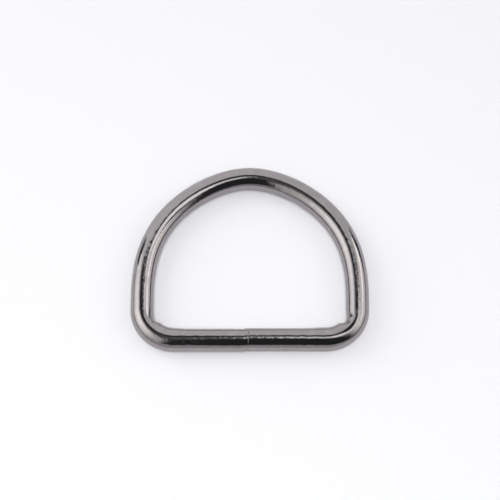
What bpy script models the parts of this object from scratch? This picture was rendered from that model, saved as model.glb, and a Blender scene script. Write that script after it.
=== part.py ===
"""D ring bent from one length of round wire, lying flat on its side.

The straight bar lies along X at the front, the arch goes round behind it towards +Y, and +Z is up.
The origin is at the middle of the ring's outer box, on the surface that the ring lies on.
The wire's two ends meet in a butt joint near the middle of the bar.
Lengths are in metres.
"""

import math

import bmesh
import bpy
import numpy as np

# The wire and the D that it is bent to
wire_diameter = 0.00305
inside_width = 0.02495       # between the feet of the sides, just above the corners
inside_height = 0.0201       # from the bar to the crown
corner_inside_radius = 0.0027
side_lean = 1.6              # degrees that each side leans inwards at its foot

# The curve of half the arch, in shares of half the ring's width and of the height above the corner
crown_level = 0.42           # how far out from the middle the crown keeps level
shoulder_out = 0.963         # the corner point that pulls the shoulder out
shoulder_up = 0.703
side_straight = 0.43         # how far up each side keeps to its lean

# The butt joint in the bar
joint_place = -0.00016       # from the middle of the bar, to the left
joint_gap = 0.00008
joint_step = 0.00008         # the right end lies this much nearer the arch than the left end
joint_slant = 4.0            # degrees that the cut is off square
left_end_round = 0.00008     # the left end was tumbled rounder than the right one
right_end_round = 0.00005

# The inside of each corner, where the wire is squeezed as it is bent: the bending tool leaves a notch next
# to the side, and metal is pushed out past the middle of the bend. Depth and height are shares of the
# wire's diameter. The rest are degrees of bend from the foot of the side, and run on along the bar at the
# same pitch: where the notch starts and is deepest, and where the bulge is up, begins to fade and ends.
mark_kind = [(name, float) for name in ("notch_depth", "notch_start", "notch_bottom",
                                        "bulge_height", "bulge_start", "bulge_fade", "bulge_end")]
left_mark, right_mark = np.array([(0.059, 13.0, 33.0, 0.039, 48.0, 82.0, 114.0),
                                  (0.111, 14.0, 35.0, 0.033, 53.0, 91.0, 122.0)], mark_kind)
mark_spread = 1.5            # how fast the squeeze fades round the wire, as a power of its cosine

# How finely the round wire is cut into flat facets
facets_round = 24
facets_along_arch = 54
facets_along_corner = 24     # with the stretch of bar that the bulge runs out on
facets_along_end_round = 2

wire_colour = (0.305, 0.283, 0.292)
wire_roughness = 0.12

wire_radius = wire_diameter / 2

# What is known of one section of the wire: its centre, the way that the wire runs there, its radius,
# how far its inner side is squeezed out or in, and how far it is off square
section_kind = [(name, float) for name in ("x", "y", "way_x", "way_y", "radius", "squeeze", "slant")]


def clear_scene():
    """Remove every object of the scene that is open."""
    for item in list(bpy.data.objects):
        bpy.data.objects.remove(item, do_unlink=True)


def ease(share):
    """Smooth step from 0 to 1 with level ends."""
    share = np.clip(share, 0.0, 1.0)
    return share * share * (3.0 - 2.0 * share)


def squeeze(bend, mark):
    """Height of the wire's inner side at a place in a corner, in degrees of bend: a notch, then a bulge."""
    fall = ease((bend - mark["notch_start"]) / (mark["notch_bottom"] - mark["notch_start"]))
    ledge = ease((bend - mark["notch_bottom"]) / (mark["bulge_start"] - mark["notch_bottom"]))
    fade = 1.0 - ease((bend - mark["bulge_fade"]) / (mark["bulge_end"] - mark["bulge_fade"]))
    return wire_diameter * (mark["bulge_height"] * ledge * fade - mark["notch_depth"] * fall * (1.0 - ledge))


def bezier(controls, share):
    """Points of a Bezier curve and its directions, as weighted sums of its control points."""
    degree = len(controls) - 1
    share = share[:, None]
    points = sum(math.comb(degree, i) * (1 - share) ** (degree - i) * share ** i * controls[i]
                 for i in range(degree + 1))
    legs = np.diff(controls, axis=0)
    ways = sum(math.comb(degree - 1, i) * (1 - share) ** (degree - 1 - i) * share ** i * legs[i]
               for i in range(degree))
    return points, ways / np.linalg.norm(ways, axis=1)[:, None]


def rounded_end(bar_y, face_x, end_round):
    """Sections of a wire end: a quarter circle rounds it from the flat end face out to the full wire."""
    turn = np.linspace(math.pi / 2, 0.0, facets_along_end_round + 1)
    sections = np.zeros(len(turn), section_kind)
    sections["x"] = face_x + end_round * (1.0 - np.sin(turn))
    sections["y"] = bar_y
    sections["way_x"] = 1.0
    sections["radius"] = wire_radius - end_round * (1.0 - np.cos(turn))
    sections["slant"] = math.tan(math.radians(joint_slant))
    return sections


def corner(bar_y, mark):
    """Sections of a corner: an arc, with the stretch of the bar before it that its bulge runs out on."""
    radius = corner_inside_radius + wire_radius
    bend = np.linspace(mark["bulge_end"], 0.0, facets_along_corner + 1)
    turn = np.radians(np.minimum(bend + side_lean, 90.0))
    along_bar = radius * np.radians(np.maximum(bend + side_lean - 90.0, 0.0))
    foot_x = inside_width / 2 + wire_radius
    centre_x = foot_x - radius * math.cos(math.radians(side_lean))
    sections = np.zeros(len(bend), section_kind)
    sections["x"] = centre_x + radius * np.cos(turn) - along_bar
    sections["y"] = bar_y + radius * (1.0 - np.sin(turn))
    sections["way_x"] = np.sin(turn)
    sections["way_y"] = np.cos(turn)
    sections["radius"] = wire_radius
    sections["squeeze"] = squeeze(bend, mark)
    return sections


def half_arch(foot):
    """Sections from a corner's last one, the foot of the side, to the crown, along one Bezier curve.

    The curve leaves the foot along the side's lean, swings round the shoulder and comes level at the crown.
    """
    foot_place = np.array((foot["x"], foot["y"]))
    crown_y = inside_height + wire_diameter
    rise = crown_y - foot["y"]
    controls = np.array((
        foot_place,
        foot_place + side_straight * rise * np.array((foot["way_x"], foot["way_y"])),
        (shoulder_out * foot["x"], foot["y"] + shoulder_up * rise),
        (crown_level * foot["x"], crown_y),
        (0.0, crown_y)))
    places, ways = bezier(controls, np.linspace(0.0, 1.0, facets_along_arch // 2 + 1)[1:])
    sections = np.zeros(len(places), section_kind)
    sections["x"], sections["y"] = places.T
    sections["way_x"], sections["way_y"] = ways.T
    sections["radius"] = wire_radius
    return sections


def half_wire(bar_y, face_x, end_round, mark):
    """Sections of the right half of the wire, from its end in the bar up to the crown."""
    bend = corner(bar_y, mark)
    return np.concatenate((rounded_end(bar_y, face_x, end_round), bend, half_arch(bend[-1])))


def whole_wire():
    """Sections of the whole wire: from the joint's right end, round the arch, to its left end."""
    right = half_wire(joint_step / 2, joint_gap / 2 + joint_place, right_end_round, right_mark)
    left = half_wire(-joint_step / 2, joint_gap / 2 - joint_place, left_end_round, left_mark)
    # the left half is made as a right one, turned over, and run through backwards from the shared crown
    left["x"] *= -1.0
    left["way_y"] *= -1.0
    return np.concatenate((right, left[-2::-1]))


def wire_surface():
    """Corners of the wire's facets, section by section: a polygon carried along the centre line.

    The polygon has a flat facet below, above, outside and inside, each one wire radius from the centre.
    """
    sections = whole_wire()[:, None]
    turn = (np.arange(facets_round) + 0.5) * 2.0 * math.pi / facets_round
    inner_side = np.clip(-np.cos(turn), 0.0, 1.0) ** mark_spread
    reach = sections["radius"] / math.cos(math.pi / facets_round)
    outwards = reach * np.cos(turn) - sections["squeeze"] * inner_side
    y_from_centre = -outwards * sections["way_x"]
    x = sections["x"] + outwards * sections["way_y"] + sections["slant"] * y_from_centre
    y = sections["y"] + y_from_centre
    z = wire_radius + reach * np.sin(turn)
    return np.stack((x, y, z), axis=-1)


def centre_on_box(surface):
    """Move the surface so that the middle of its box, seen from above, is the origin."""
    lowest = surface.reshape(-1, 3).min(axis=0)
    highest = surface.reshape(-1, 3).max(axis=0)
    middle = (lowest + highest) / 2
    middle[2] = lowest[2]
    return surface - middle


def edge_loop(mesh, section):
    """One section of the wire as a closed loop of corners and edges; it returns both."""
    corners = [mesh.verts.new(place) for place in section]
    edges = [mesh.edges.new((corners[i - 1], corners[i])) for i in range(len(corners))]
    return corners, edges


def plating():
    """Black nickel plating, polished."""
    material = bpy.data.materials.new("gunmetal_plating")
    material.use_nodes = True
    shader = material.node_tree.nodes["Principled BSDF"]
    shader.inputs["Base Color"].default_value = (*wire_colour, 1.0)
    shader.inputs["Roughness"].default_value = wire_roughness
    shader.inputs["Metallic"].default_value = 1.0
    return material


def ring_wire():
    """The ring: its sections bridged one to the next, and a flat face on each end of the wire."""
    surface = centre_on_box(wire_surface())
    body = bmesh.new()
    loops = [edge_loop(body, section) for section in surface]
    for (_, edges), (_, next_edges) in zip(loops, loops[1:]):
        bmesh.ops.bridge_loops(body, edges=edges + next_edges)
    for corners in (loops[0][0], loops[-1][0]):
        body.faces.new(corners)
    bmesh.ops.recalc_face_normals(body, faces=body.faces)
    mesh = bpy.data.meshes.new("ring_wire")
    body.to_mesh(mesh)
    body.free()
    mesh.shade_smooth()
    mesh.set_sharp_from_angle(angle=math.radians(30))
    mesh.materials.append(plating())
    ring = bpy.data.objects.new("ring_wire", mesh)
    bpy.context.scene.collection.objects.link(ring)


clear_scene()
ring_wire()
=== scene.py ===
"""D ring for a 25 mm strap, bent from round wire and plated black nickel, lying flat on white paper.

The straight bar lies along X at the front, the arch goes round behind it towards +Y, and +Z is up.
Lengths are in metres.
"""

import math

import bpy
import numpy as np
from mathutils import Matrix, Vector


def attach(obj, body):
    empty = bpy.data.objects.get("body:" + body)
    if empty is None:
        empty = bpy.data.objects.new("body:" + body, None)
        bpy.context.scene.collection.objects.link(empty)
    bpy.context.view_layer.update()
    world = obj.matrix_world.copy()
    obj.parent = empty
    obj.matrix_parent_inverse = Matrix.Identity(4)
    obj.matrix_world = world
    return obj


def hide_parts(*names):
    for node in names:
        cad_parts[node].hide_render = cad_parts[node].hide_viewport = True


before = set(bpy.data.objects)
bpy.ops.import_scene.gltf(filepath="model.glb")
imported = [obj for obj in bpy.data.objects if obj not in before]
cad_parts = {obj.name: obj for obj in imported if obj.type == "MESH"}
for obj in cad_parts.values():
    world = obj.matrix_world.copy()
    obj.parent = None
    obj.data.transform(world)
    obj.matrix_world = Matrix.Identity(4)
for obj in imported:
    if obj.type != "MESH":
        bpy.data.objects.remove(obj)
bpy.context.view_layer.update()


# The ring. One length of round steel wire is bent to a D over a former, and its two cut ends are
# pressed together near the middle of the straight bar. They aren't soldered. It is then tumbled, which
# rounds the ends, and plated with black nickel, a dark mirror in which every mark of the work shows.

wire_radius = 0.001525
inside_width = 0.02495
inside_height = 0.0201
corner_inside_radius = 0.0027
side_lean = 1.6              # degrees that each side leans inwards at its foot

# The curve of half the arch, in shares of half the ring's width and of the height above the corner
crown_level = 0.42           # how far out from the middle the crown keeps level
shoulder_out = 0.963         # the corner point that pulls the shoulder out
shoulder_up = 0.703
side_straight = 0.43         # how far up each side keeps to its lean

joint_place = -0.00016       # from the middle of the bar
joint_gap = 0.00003
joint_step = 0.00008         # the right end lies this much nearer the arch
joint_slant = 4.0            # degrees that the cut is off square
slant_run = 0.002            # how far from the joint the wire's grid is square again
right_end_round = 0.00004
left_end_round = 0.00007

# The left end is pressed over to meet the right one, and its inner side is dented beside that. Both start
# and stop this far from the joint.
left_end_bend = (0.0001, 0.0008)
left_end_dent = (0.0004, 0.0011)
left_end_dent_depth = 0.00006
left_end_run = 0.0015        # the stretch of the left end that holds both
left_end_steps = 100

# The inside of each corner, where the wire is squeezed as it is bent: the bending tool leaves a notch next
# to the side, and metal is pushed out past the middle of the bend. The places are degrees of bend from the
# foot of the side, and run on along the bar at the same pitch: where the notch starts and is deepest, and
# where the bulge is up, begins to fade and ends.
mark_kind = [(name, float) for name in ("notch_depth", "notch_start", "notch_bottom",
                                        "bulge_height", "bulge_start", "bulge_fade", "bulge_end")]
left_mark, right_mark = np.array([(0.00018, 5.0, 33.0, 0.00012, 48.0, 82.0, 114.0),
                                  (0.00034, 0.0, 36.0, 0.00010, 53.0, 91.0, 122.0)], mark_kind)
mark_spread = 0.62           # how far up the wire the squeeze keeps its depth, as a cosine

path_steps = 600             # how finely the centre line is worked out before it is spaced evenly
way_step = 0.00001           # the wire's direction is measured this far before and after a place
rows_along = 1000
rows_in_end = 8
points_round = 96


def ease(share):
    """Smooth step from 0 to 1 with level ends."""
    share = np.clip(share, 0.0, 1.0)
    return share * share * (3.0 - 2.0 * share)


def squeeze(bend, mark):
    """Height of the wire's inner side at a place in a corner, in degrees of bend: a notch, then a bulge."""
    fall = ease((bend - mark["notch_start"]) / (mark["notch_bottom"] - mark["notch_start"]))
    ledge = ease((bend - mark["notch_bottom"]) / (mark["bulge_start"] - mark["notch_bottom"]))
    fade = 1.0 - ease((bend - mark["bulge_fade"]) / (mark["bulge_end"] - mark["bulge_fade"]))
    return mark["bulge_height"] * ledge * fade - mark["notch_depth"] * fall * (1.0 - ledge)


def half_path(bar_y, mark):
    """Centre line of the right half of the wire from the joint to the crown, and its inner side's squeeze.

    A straight bar, an arc of a circle round the corner, and a Bezier curve of five control points, which
    leaves the corner along the side's lean, swings round the shoulder and comes level at the crown.
    """
    radius = corner_inside_radius + wire_radius
    foot_x = inside_width / 2 + wire_radius
    centre_x = foot_x - radius * math.cos(math.radians(side_lean))
    bend = np.linspace(mark["bulge_end"], 0.0, path_steps)
    turn = np.radians(np.minimum(bend + side_lean, 90.0))
    along_bar = radius * np.radians(np.maximum(bend + side_lean - 90.0, 0.0))
    corner = np.stack((centre_x + radius * np.cos(turn) - along_bar,
                       bar_y + radius * (1.0 - np.sin(turn)),
                       squeeze(bend, mark)), axis=1)
    foot = corner[-1, :2]
    way = np.array((math.sin(math.radians(side_lean)), math.cos(math.radians(side_lean))))
    crown_y = inside_height + 2.0 * wire_radius
    rise = crown_y - foot[1]
    controls = (foot,
                foot + side_straight * rise * way,
                np.array((shoulder_out * foot[0], foot[1] + shoulder_up * rise)),
                np.array((crown_level * foot[0], crown_y)),
                np.array((0.0, crown_y)))
    degree = len(controls) - 1
    share = np.linspace(0.0, 1.0, path_steps)[1:, None]
    arch = sum(math.comb(degree, i) * (1.0 - share) ** (degree - i) * share ** i * controls[i]
               for i in range(degree + 1))
    arch = np.column_stack((arch, np.zeros(len(arch))))
    return np.concatenate((corner, arch))


def whole_path():
    """Centre line of the whole wire, x, y and squeeze, from the joint's right end to its left end.

    The left end swings over by the joint's step as a smooth step, and beside that its inner side has a dent.
    """
    right = half_path(joint_step / 2, right_mark)
    right_end = np.array(((joint_place + joint_gap / 2, joint_step / 2, 0.0),))
    left = half_path(-joint_step / 2, left_mark)
    from_joint = np.linspace(0.0, left_end_run, left_end_steps)
    bend = ease((from_joint - left_end_bend[0]) / (left_end_bend[1] - left_end_bend[0]))
    into_dent = (from_joint - left_end_dent[0]) / (left_end_dent[1] - left_end_dent[0])
    dent = ease(1.0 - abs(2.0 * into_dent - 1.0))
    left_end = np.stack((joint_gap / 2 - joint_place + from_joint, joint_step * (0.5 - bend),
                         -left_end_dent_depth * dent), axis=1)
    left = np.concatenate((left_end, left))
    left[:, 0] *= -1.0
    return np.concatenate((right_end, right, left[-2::-1]))


def end_rows(end_round):
    """Distances from a wire end of the rows that round it: evenly spaced on a quarter circle."""
    turn = np.linspace(0.0, math.pi / 2, rows_in_end + 1)[:-1]
    return end_round * (1.0 - np.cos(turn))


def wire_grid():
    """The grid on the wire: distance along it, and angle round it, where 0 faces out of the D and 90 up."""
    path = whole_path()
    length = np.hypot(*np.diff(path[:, :2], axis=0).T).sum()
    middle = np.linspace(right_end_round, length - left_end_round, rows_along)
    distance = np.concatenate((end_rows(right_end_round), middle, length - end_rows(left_end_round)[::-1]))
    turn = np.arange(points_round) * 2.0 * math.pi / points_round
    return path, length, distance[:, None], turn[None, :]


def end_radius(distance, end_round):
    """Radius of the wire near an end: a quarter circle in section."""
    share = np.clip(1.0 - distance / end_round, 0.0, 1.0)
    return wire_radius - end_round * (1.0 - np.sqrt(1.0 - share * share))


wave_count = 70
wave_longest = 0.002
wave_shortest = 0.00035
wave_slope = 0.008           # how steep the waves are together, as a rise over a run
bar_wave_slope = 0.022       # the bar is handled most, and is more uneven
bar_waves_end = (0.0085, 0.0115)   # where they pass into the others, from the wire's ends
wave_room = 0.000012         # the wire is this much thinner, so that the waves stay inside its full thickness
wave_seed = 11


def waves(distance, turn, length):
    """Unevenness of drawn and tumbled wire: a sum of cosines along it, each with whole waves round it.

    Each wave is as high as its length times one slope, so long ones are higher. The slope is larger on
    the bar.
    """
    random = np.random.default_rng(wave_seed)
    wave_length = np.geomspace(wave_longest, wave_shortest, wave_count)
    most_round = 2.0 * math.pi * wire_radius / wave_length
    round_count = np.rint(random.uniform(-1.0, 1.0, wave_count) * most_round)
    shift = random.uniform(0.0, 2.0 * math.pi, wave_count)
    phase = 2.0 * math.pi * distance[..., None] / wave_length + round_count * turn[..., None] + shift
    height = wave_length / (2.0 * math.pi) / math.sqrt(wave_count / 2.0)
    from_end = np.minimum(distance, length - distance)
    on_bar = 1.0 - ease((from_end - bar_waves_end[0]) / (bar_waves_end[1] - bar_waves_end[0]))
    slope = wave_slope + (bar_wave_slope - wave_slope) * on_bar
    return (np.cos(phase) * height).sum(axis=-1) * slope


def wire_surface(path, length, distance, turn):
    """Points of the wire's surface: a circle carried along the centre line, evenly spaced along it.

    The circle is squeezed on the side that faces into the D, shrinks at the rounded ends, and leans with
    the slanted cut next to the joint.
    """
    run = np.concatenate(((0.0,), np.cumsum(np.hypot(*np.diff(path[:, :2], axis=0).T))))
    x, y, pinch = (np.interp(distance, run, column) for column in path.T)
    way_x, way_y = (np.interp(distance + way_step, run, column) - np.interp(distance - way_step, run, column)
                    for column in path.T[:2])
    steepness = np.hypot(way_x, way_y)
    way_x, way_y = way_x / steepness, way_y / steepness
    radius = np.minimum(end_radius(distance, right_end_round), end_radius(length - distance, left_end_round))
    radius = radius + waves(distance, turn, length) - wave_room
    slant = math.tan(math.radians(joint_slant)) * (
        1.0 - ease(distance / slant_run) + 1.0 - ease((length - distance) / slant_run))
    inner_side = ease(-np.cos(turn) / mark_spread)
    outwards = radius * np.cos(turn) - pinch * inner_side
    y_from_centre = -outwards * way_x
    return np.stack((x + outwards * way_y + slant * y_from_centre,
                     y + y_from_centre,
                     wire_radius + radius * np.sin(turn)), axis=-1)


# Rough patches: where the middle is along the wire and half the length, the angle round it and half the
# width in degrees, and how rough it is. The first is orange peel where the left bend's outer side was
# stretched, and the others are tool marks on the inner sides of the bends.
rough_patches = (
    (0.0770, 0.0042, 66.0, 26.0, 0.65),
    (0.0713, 0.0012, 128.0, 16.0, 0.5),
    (0.0658, 0.0009, 112.0, 12.0, 0.5),
    (0.0170, 0.0014, 69.0, 12.0, 0.6))
patch_rise = 1.6             # how early a patch is fully rough on the way in from its edge


def roughened(distance, turn):
    """How rough the wire is at each point, from 0 to 1: patches that fade out as smooth steps both ways."""
    rough = 0.0
    for place, half_length, middle, half_turn, strength in rough_patches:
        along = ease(1.0 - abs(distance - place) / half_length)
        around = ease(1.0 - abs(turn - math.radians(middle)) / math.radians(half_turn))
        rough = rough + strength * np.minimum(1.0, patch_rise * along) * np.minimum(1.0, patch_rise * around)
    return rough


def ring_mesh():
    """The ring's grid as a mesh: quads between the rows, and a fan of triangles closes each end.

    Each point also keeps its place on the wire as it was before bending, and how rough it is there.
    """
    path, length, distance, turn = wire_grid()
    surface = wire_surface(path, length, distance, turn)
    lowest, highest = surface.reshape(-1, 3).min(axis=0), surface.reshape(-1, 3).max(axis=0)
    middle = (lowest + highest) / 2.0
    middle[2] = lowest[2]
    surface = surface - middle
    points = np.concatenate((surface.reshape(-1, 3), surface[[0, -1]].mean(axis=1)))
    last_row = (len(surface) - 1) * points_round
    row = np.arange(0, last_row, points_round)[:, None]
    here = np.arange(points_round)[None, :]
    after = (here + 1) % points_round
    next_row = row + points_round
    quads = np.stack((row + here, next_row + here, next_row + after, row + after), axis=-1)
    first_cap = np.stack((here[0], after[0], np.full(points_round, len(points) - 2)), axis=-1)
    last_cap = np.stack((last_row + after[0], last_row + here[0], np.full(points_round, len(points) - 1)),
                        axis=-1)
    mesh = bpy.data.meshes.new("ring")
    mesh.from_pydata(points, [], quads.reshape(-1, 4).tolist() + first_cap.tolist() + last_cap.tolist())
    mesh.shade_smooth()
    straight = np.stack(np.broadcast_arrays(distance, wire_radius * np.cos(turn), wire_radius * np.sin(turn)),
                        axis=-1)
    straight = np.concatenate((straight.reshape(-1, 3), ((0.0, 0.0, 0.0), (length, 0.0, 0.0))))
    rough = np.concatenate((roughened(distance, turn).ravel(), (0.0, 0.0)))
    mesh.attributes.new("straight_wire", "FLOAT_VECTOR", "POINT").data.foreach_set("vector", straight.ravel())
    mesh.attributes.new("roughened", "FLOAT", "POINT").data.foreach_set("value", rough)
    return mesh


class Value:
    """A number or vector in a material, from a node's socket. Sums and products of it add Math nodes."""

    def __init__(self, tree, socket=None):
        self.tree, self.socket = tree, socket

    def node(self, kind, settings=(), output=0, **inputs):
        """A new node of a kind: its settings first, then its inputs, by name or as _0 for the first one."""
        node = self.tree.nodes.new(kind)
        for name, value in dict(settings).items():
            setattr(node, name, value)
        for name, value in inputs.items():
            socket = node.inputs[int(name[1:]) if name[0] == "_" else name]
            if isinstance(value, Value):
                self.tree.links.new(value.socket, socket)
            else:
                socket.default_value = value
        return Value(self.tree, node.outputs[output])

    def number(self, operation, first, second):
        """Number maths on two values, each a socket's or a plain one."""
        return self.node("ShaderNodeMath", {"operation": operation}, _0=first, _1=second)

    def vector(self, operation, output="Vector", **inputs):
        """Vector maths on this value, with what else the operation needs."""
        return self.node("ShaderNodeVectorMath", {"operation": operation}, output, _0=self, **inputs)

    def __add__(self, other):
        return self.number("ADD", self, other)

    __radd__ = __add__

    def __mul__(self, other):
        return self.number("MULTIPLY", self, other)

    __rmul__ = __mul__

    def __sub__(self, other):
        return self.number("SUBTRACT", self, other)

    def __rsub__(self, other):
        return self.number("SUBTRACT", other, self)

    def between(self, low, high, to_low=0.0, to_high=1.0):
        """Map a range onto another, eased at both ends and held outside it."""
        return self.node("ShaderNodeMapRange", {"interpolation_type": "SMOOTHSTEP"},
                         _0=self, _1=low, _2=high, _3=to_low, _4=to_high)


def new_material(name):
    """A material with one Principled shader; it returns both."""
    material = bpy.data.materials.new(name)
    material.use_nodes = True
    return material, material.node_tree.nodes["Principled BSDF"]


plating_colour = (0.305, 0.283, 0.292, 1.0)
plating_worn_colour = (0.335, 0.312, 0.316, 1.0)
plating_roughness = 0.10
drawn_line_length = 60.0     # how many times longer than wide the drawn lines are

# The finish's patterns: how many swells fit in a millimetre, how many finer layers lie on them, and how
# strong those are
line_pattern = (9.0, 3.0, 0.6)
cloud_pattern = (0.8, 3.0, 0.5)
grain_pattern = (7.0, 3.0, 0.55)
peel_pattern = (3.2, 2.0, 0.5)
pits_to_millimetre = 2.6
pit_wall = (0.05, 0.16)      # how far from a pit's middle its wall begins and ends, in shares of a pit's room
clouds_worn = (0.45, 0.75)   # how bright the clouds are where the worn colour begins and is full
peel_dull = (0.35, 0.65)     # how high the peel is where it begins to be duller and is fully so

# How much each of them adds to the roughness, and how high it is
clouds_rough, grain_rough, pits_rough, peel_rough = 0.05, 0.04, 0.05, 0.18
line_height, grain_height, pit_depth, peel_height = 0.35, 0.5, 0.6, 9.0
height_of_one = 0.00002      # how high a height of 1 is
height_strength = 0.25       # how much of it shows


def pattern(place, swells, layers, strength):
    """A soft uneven pattern from 0 to 1, with finer layers on it."""
    return place.node("ShaderNodeTexNoise", Vector=place, Scale=swells, Detail=layers, Roughness=strength)


def black_nickel():
    """Black nickel over drawn and tumbled wire: a dark mirror with fine lines, pits and faint clouds."""
    material, shader = new_material("black_nickel")
    tree = material.node_tree
    place = Value(tree).node("ShaderNodeAttribute", {"attribute_name": "straight_wire"}, "Vector")
    rough = Value(tree).node("ShaderNodeAttribute", {"attribute_name": "roughened"}, "Fac")
    millimetres = place.vector("SCALE", Scale=1000.0)
    lines = pattern(millimetres.vector("MULTIPLY", _1=(1.0 / drawn_line_length, 1.0, 1.0)), *line_pattern)
    clouds = pattern(millimetres, *cloud_pattern)
    grain = pattern(millimetres, *grain_pattern)
    peel = pattern(millimetres, *peel_pattern)
    pits = 1.0 - place.node("ShaderNodeTexVoronoi", Vector=millimetres, Scale=pits_to_millimetre,
                            Randomness=1.0).between(*pit_wall)
    colour = place.node("ShaderNodeMix", {"data_type": "RGBA"}, 2, _0=clouds.between(*clouds_worn),
                        _6=plating_colour, _7=plating_worn_colour)
    roughness = (plating_roughness + clouds_rough * (clouds - 0.5) + grain_rough * (grain - 0.5)
                 + pits_rough * pits + peel_rough * rough * peel.between(*peel_dull))
    height = lines * line_height + grain * grain_height - pits * pit_depth + peel * rough * peel_height
    bump = place.node("ShaderNodeBump", Strength=height_strength, Distance=height_of_one, Height=height)
    tree.links.new(colour.socket, shader.inputs["Base Color"])
    tree.links.new(roughness.socket, shader.inputs["Roughness"])
    tree.links.new(bump.socket, shader.inputs["Normal"])
    shader.inputs["Metallic"].default_value = 1.0
    return material


ring = bpy.data.objects.new("ring", ring_mesh())
bpy.context.scene.collection.objects.link(ring)
ring.data.materials.append(black_nickel())
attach(ring, "root")
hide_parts("ring_wire")


# The table. A sheet of smooth white paper, which the ring lies on. It is larger than any view of the
# ring, so that none of its edges shows.

paper_half_width = 1.2
paper_colour = (0.9, 0.9, 0.905, 1.0)
paper_roughness = 0.9
paper_shine = 0.2


def square(half_width, height):
    """Corners of a level square round the middle, in turn."""
    return [(x * half_width, y * half_width, height) for x, y in ((-1, -1), (1, -1), (1, 1), (-1, 1))]


def flat_sheet(name, corners):
    """A flat mesh of one face, its corners given in turn round it."""
    mesh = bpy.data.meshes.new(name)
    mesh.from_pydata(corners, [], [range(len(corners))])
    sheet = bpy.data.objects.new(name, mesh)
    bpy.context.scene.collection.objects.link(sheet)
    return sheet


paper = flat_sheet("paper", square(paper_half_width, 0.0))
paper_finish, paper_shader = new_material("white_paper")
paper_shader.inputs["Base Color"].default_value = paper_colour
paper_shader.inputs["Roughness"].default_value = paper_roughness
paper_shader.inputs["Specular IOR Level"].default_value = paper_shine
paper.data.materials.append(paper_finish)


# The studio, which the plating mirrors: two large softboxes of white cloth, a pale card behind the ring, a
# low card in front, a dim sheet over the paper in front that is painted shade, lights overhead with a small
# dark flag under them, and a dark room. Each is seen in the plating alone. Three lamps and an even light in
# the room light the paper.

black = (0.0, 0.0, 0.0, 1.0)
white = (1.0, 1.0, 1.0)
cloth_colour = (1.0, 1.0, 0.965)
room_colour = (0.92, 1.0, 1.12)
room_radiance = 0.042
room_half_width = 3.2
no_fade = 0.0001
everywhere = 9.0             # a spot's size along an axis on which it stays the same


def only_mirrored(card):
    """Let only the plating's reflections see a card. It hides nothing and casts no light or shadow."""
    card.visible_camera = card.visible_diffuse = card.visible_shadow = False
    card.visible_transmission = card.visible_volume_scatter = False


def glow_card(name, corners, fades, radiance, colour=white, spot=None):
    """A glowing card that fades in from each of its edges, over that edge's width.

    A spot has a place, a size along each axis, and a radiance, to which the card's own turns as a smooth
    step towards the spot's middle. Where none is given, it is as bright as the rest of the card.
    """
    card = flat_sheet(name, corners)
    finish, shader = new_material(name)
    place = Value(finish.node_tree).node("ShaderNodeTexCoord", output="Object")
    facing = (Vector(corners[1]) - Vector(corners[0])).cross(Vector(corners[2]) - Vector(corners[1]))
    shown = 1.0
    for corner, after, fade in zip(corners, (*corners[1:], corners[0]), fades):
        inwards = facing.cross(Vector(after) - Vector(corner)).normalized()
        inside = place.vector("DOT_PRODUCT", "Value", _1=inwards) - inwards.dot(Vector(corner))
        shown = shown * inside.between(0.0, fade)
    spot_place, spot_size, spot_radiance = spot or ((0.0, 0.0, 0.0), (1.0, 1.0, 1.0), radiance)
    from_spot = place.vector("SUBTRACT", _1=spot_place).vector("DIVIDE", _1=spot_size)
    brightness = from_spot.vector("LENGTH", "Value").between(0.0, 1.0, spot_radiance, radiance)
    glow = place.node("ShaderNodeVectorMath", {"operation": "SCALE"}, Vector=colour, Scale=brightness)
    finish.node_tree.links.new(glow.socket, shader.inputs["Emission Color"])
    finish.node_tree.links.new(shown.socket, shader.inputs["Alpha"])
    shader.inputs["Base Color"].default_value = black
    shader.inputs["Specular IOR Level"].default_value = 0.0
    shader.inputs["Emission Strength"].default_value = 1.0
    card.data.materials.append(finish)
    only_mirrored(card)


def across(y, outline):
    """Corners of an upright card behind or in front of the ring, from its outline in x and z."""
    return [(x, y, z) for x, z in outline]


def beside(x, outline):
    """Corners of an upright card to the left or right of the ring, from its outline in y and z."""
    return [(x, y, z) for y, z in outline]


def level(z, outline):
    """Corners of a level card, from its outline in x and y."""
    return [(x, y, z) for x, y in outline]


# The card behind the ring, and the softboxes, each of them brightest where its lamp is
glow_card("back_card",
          across(0.054, ((-0.0757, 0.0), (0.0657, 0.0), (0.0657, 0.0966), (0.010, 0.150), (-0.0757, 0.0952))),
          (no_fade, 0.012, 0.012, 0.016, 0.012), 0.95,
          spot=((-0.076, 0.054, 0.05), (0.15, everywhere, everywhere), 1.18))
glow_card("left_softbox",
          beside(-0.105, ((-0.2371, 0.0), (0.18, 0.0), (0.18, 0.3183), (-0.2371, 0.5218))),
          (0.022, 0.031, 0.202, 0.112), 0.90, cloth_colour,
          spot=((-0.105, 0.012, 0.102), (everywhere, 0.135, 0.139), 2.44))
glow_card("right_softbox",
          beside(0.4, ((-0.37, 0.013), (0.612, 0.013), (0.612, 1.876), (-0.37, 2.819))),
          (0.096, 0.147, 0.498, 0.345), 1.40, cloth_colour,
          spot=((0.4, 0.5555, 0.3264), (everywhere, 0.896, 0.148), 3.60))

# The gaps beside the foot of the back card, where the dark room shows
left_gap = ((-0.0665, 0.0129), (-0.0665, 0.0579), (-0.1345, 0.028), (-0.1345, 0.0), (-0.1024, 0.0))
right_gap = ((0.0565, 0.0129), (0.0565, 0.0544), (0.1247, 0.0217), (0.1247, 0.0), (0.0894, 0.0))
for name, outline in (("left_gap", left_gap), ("right_gap", right_gap)):
    glow_card(name, across(0.0535, outline), (0.0065, 0.009, no_fade, no_fade, 0.009), room_radiance,
              room_colour)

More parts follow.
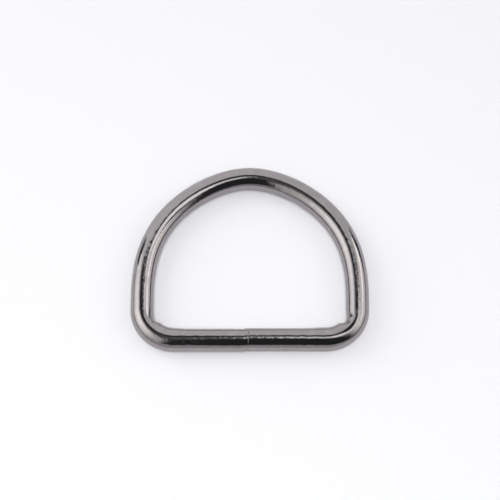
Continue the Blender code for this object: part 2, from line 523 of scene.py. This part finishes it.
# The lights overhead: a panel that is brighter to the right, a strip behind it, what spills past its left
# edge, and a wing on its right
glow_card("overhead_panel",
          level(0.132, ((0.002, -0.030), (0.052, -0.030), (0.052, 0.017), (-0.010, 0.017))),
          (0.010, 0.010, 0.012, 0.012), 1.45,
          spot=((0.045, 0.0, 0.132), (0.03, everywhere, everywhere), 2.3))
glow_card("overhead_strip",
          level(0.133, ((0.024, 0.0), (0.054, 0.0), (0.054, 0.055), (0.024, 0.055))),
          (0.004, 0.008, 0.008, 0.008), 2.2)
glow_card("overhead_spill",
          level(0.134, ((-0.045, -0.042), (0.01, -0.042), (0.01, 0.036), (-0.045, 0.036))),
          (0.014, 0.014, 0.014, 0.014), 0.16)
glow_card("overhead_wing",
          level(0.1325, ((0.045, -0.036), (0.092, -0.036), (0.092, 0.020), (0.066, 0.045), (0.045, 0.045))),
          (0.006, 0.006, 0.006, 0.006, 0.003), 1.9)

# The flag, which keeps their glare off the right corner
glow_card("overhead_flag",
          level(0.04, ((0.0155, -0.0055), (0.021, -0.0092), (0.027, -0.0108), (0.0305, -0.005),
                       (0.0288, -0.0015), (0.0235, 0.0065), (0.0155, 0.0065))),
          (0.001,) * 7, room_radiance, room_colour)

# The low card in front, and a dim sheet that reaches from it towards the bar: painted shade on the paper in
# front, as the plating mirrors it
glow_card("front_card",
          across(-0.0607, ((-0.128, 0.0), (0.102, 0.0), (0.102, 0.0094), (-0.128, 0.0292))),
          (no_fade, 0.037, 0.0018, 0.037), 0.58)
# Painted shade: this sheet glows dimmer than the lit paper, so the plating mirrors the paper in front of the
# ring as shaded
glow_card("front_paper_shade",
          level(0.0002, ((-0.1343, -0.0607), (0.1343, -0.0607), (0.1343, -0.0155), (-0.1343, -0.0155))),
          (no_fade, no_fade, 0.009, no_fade), 0.72)

room_mesh = bpy.data.meshes.new("dark_room")
room_mesh.from_pydata(square(room_half_width, 0.0) + square(room_half_width, room_half_width), [],
                      ((0, 1, 5, 4), (1, 2, 6, 5), (2, 3, 7, 6), (3, 0, 4, 7), (4, 5, 6, 7)))
room = bpy.data.objects.new("dark_room", room_mesh)
bpy.context.scene.collection.objects.link(room)
room_finish, room_shader = new_material("dark_room")
room_shader.inputs["Base Color"].default_value = black
room_shader.inputs["Specular IOR Level"].default_value = 0.0
room_shader.inputs["Emission Color"].default_value = (*room_colour, 1.0)
room_shader.inputs["Emission Strength"].default_value = room_radiance
room_mesh.materials.append(room_finish)
only_mirrored(room)

for name, place, width, watts in (("top_lamp", (0.0, -0.15, 0.38), 0.08, 0.84),
                                  ("left_lamp", (-0.3, 0.12, 0.2), 0.3, 0.45),
                                  ("right_lamp", (0.95, 0.0, 0.73), 0.8, 1.9)):
    lamp_data = bpy.data.lights.new(name, "AREA")
    lamp_data.size = width
    lamp_data.energy = watts
    lamp = bpy.data.objects.new(name, lamp_data)
    bpy.context.scene.collection.objects.link(lamp)
    lamp.location = place
    lamp.rotation_euler = (-lamp.location).to_track_quat("-Z", "Y").to_euler()
    lamp.visible_glossy = False

even_light_colour = (0.93, 0.925, 1.0, 1.0)
even_light_strength = 0.43

world = bpy.data.worlds.new("pale_room")
world.use_nodes = True
even_light = world.node_tree.nodes["Background"]
even_light.inputs["Color"].default_value = even_light_colour
even_light.inputs["Strength"].default_value = even_light_strength
world.cycles_visibility.glossy = False
bpy.context.scene.world = world
bpy.context.scene.view_settings.view_transform = "Standard"


# The camera. It stands in front of the ring and above it, as in the photo, and looks at the ring's
# middle.

camera_height = 66.0         # degrees above the table
camera_distance = 0.22387
camera_aim = Vector((0.00002, 0.001842, 0.0))
camera_lens = 121.24         # millimetres, as the sensor's width is
camera_sensor = 36.0
camera_nearest, camera_farthest = 0.01, 10.0

camera_data = bpy.data.cameras.new("camera")
camera_data.lens = camera_lens
camera_data.sensor_width = camera_sensor
camera_data.clip_start = camera_nearest
camera_data.clip_end = camera_farthest
camera = bpy.data.objects.new("camera", camera_data)
bpy.context.scene.collection.objects.link(camera)
back = Vector((0.0, -math.cos(math.radians(camera_height)), math.sin(math.radians(camera_height))))
camera.location = camera_aim + back * camera_distance
camera.rotation_euler = (math.radians(90.0 - camera_height), 0.0, 0.0)
bpy.context.scene.camera = camera
